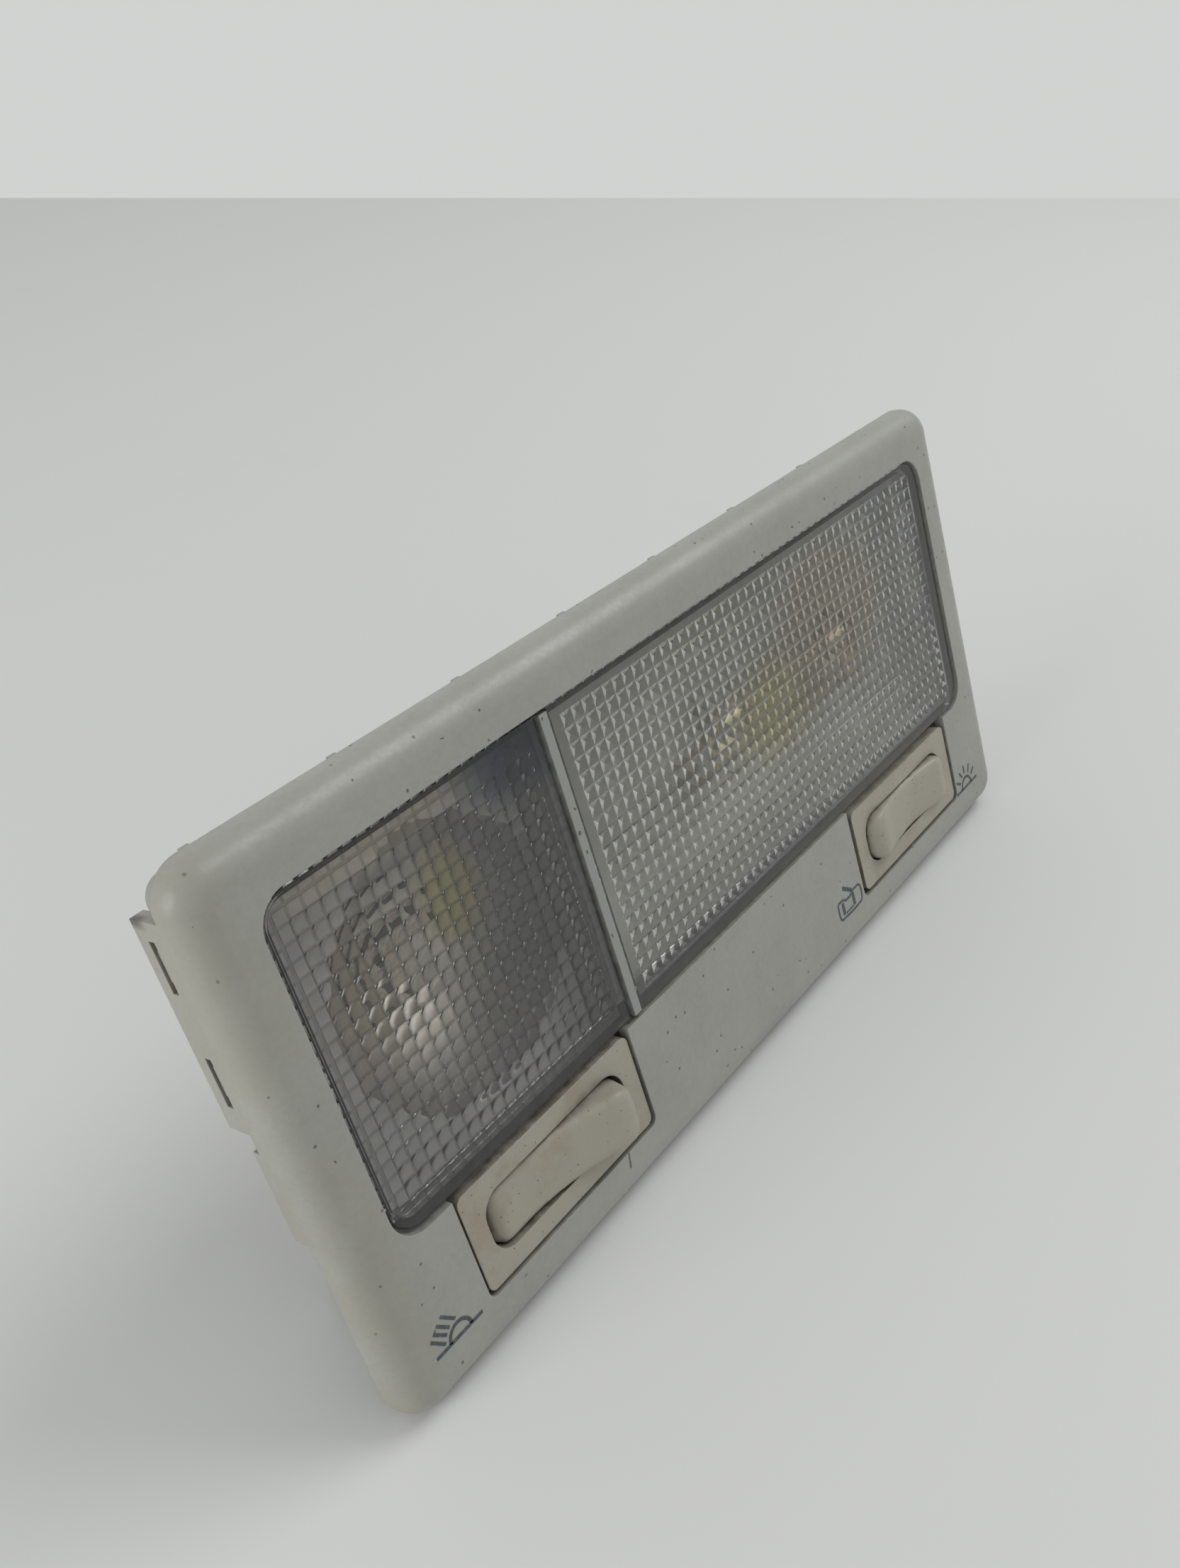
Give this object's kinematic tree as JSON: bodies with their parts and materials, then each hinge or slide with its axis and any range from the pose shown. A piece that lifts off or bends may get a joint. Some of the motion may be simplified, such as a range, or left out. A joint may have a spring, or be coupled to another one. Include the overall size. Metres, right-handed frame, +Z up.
{
  "type": "car dome light",
  "caption": "Overhead car lamp with a moulded bezel, a prismatic reading lens and room lens, and a rocker switch below each lens.",
  "frame": {"origin": "midway between the two mounting screw holes, on the face of the ears that seats against the roof bracket", "axes": "+X along the lamp to the right as seen from its lit side, -Y the way the light leaves, +Z up the short side from the switches to the lenses, as in the picture"},
  "size_m": [0.1658, 0.0383, 0.0778],
  "materials": {
    "bezel": "fine satin grain",
    "base": "matt",
    "lens": "clear, prismatic inside",
    "switch": "satin, aged",
    "reflector_white": "satin white",
    "reflector_bright": "bright",
    "bulb_glass": "clear",
    "brass": "dull",
    "steel": "dull",
    "dark_plastic": "matt",
    "ivory_plastic": "satin"
  },
  "bodies": {
    "lamp": {"bezel": "bezel", "lamp_base": "base", "main_lens": "lens", "reading_lens": "lens", "main_reflector": "reflector_white", "reading_reflector": "reflector_bright", "main_bulb_glass": "bulb_glass", "main_bulb_caps": "steel", "main_contact_left": "brass", "main_contact_right": "brass", "reading_bulb": "bulb_glass", "reading_bulb_holder": "dark_plastic", "reading_contacts": "brass", "left_switch_housing": "switch", "left_terminals": "brass", "right_switch_housing": "switch", "right_terminals": "brass", "supply_strip": "brass", "ground_strip": "brass", "door_strip": "brass", "reading_strip": "brass", "lamp_strip": "brass", "connector_shell": "ivory_plastic", "connector_pins": "steel"},
    "left_rocker": {"left_rocker": "switch", "left_contact_bridge": "brass"},
    "right_rocker": {"right_rocker": "switch", "right_contact_bridge": "brass"}
  },
  "joints": [
    {"name": "reading_switch", "type": "hinge", "parent": "lamp", "child": "left_rocker", "pos_m": [-0.0489, -0.0073, -0.0316], "axis": [0, 0, 1], "range_deg": [0, 23]},
    {"name": "room_switch", "type": "hinge", "parent": "lamp", "child": "right_rocker", "pos_m": [0.0493, -0.0073, -0.0323], "axis": [0, 0, 1], "range_deg": [-11.5, 11.5]}
  ]
}
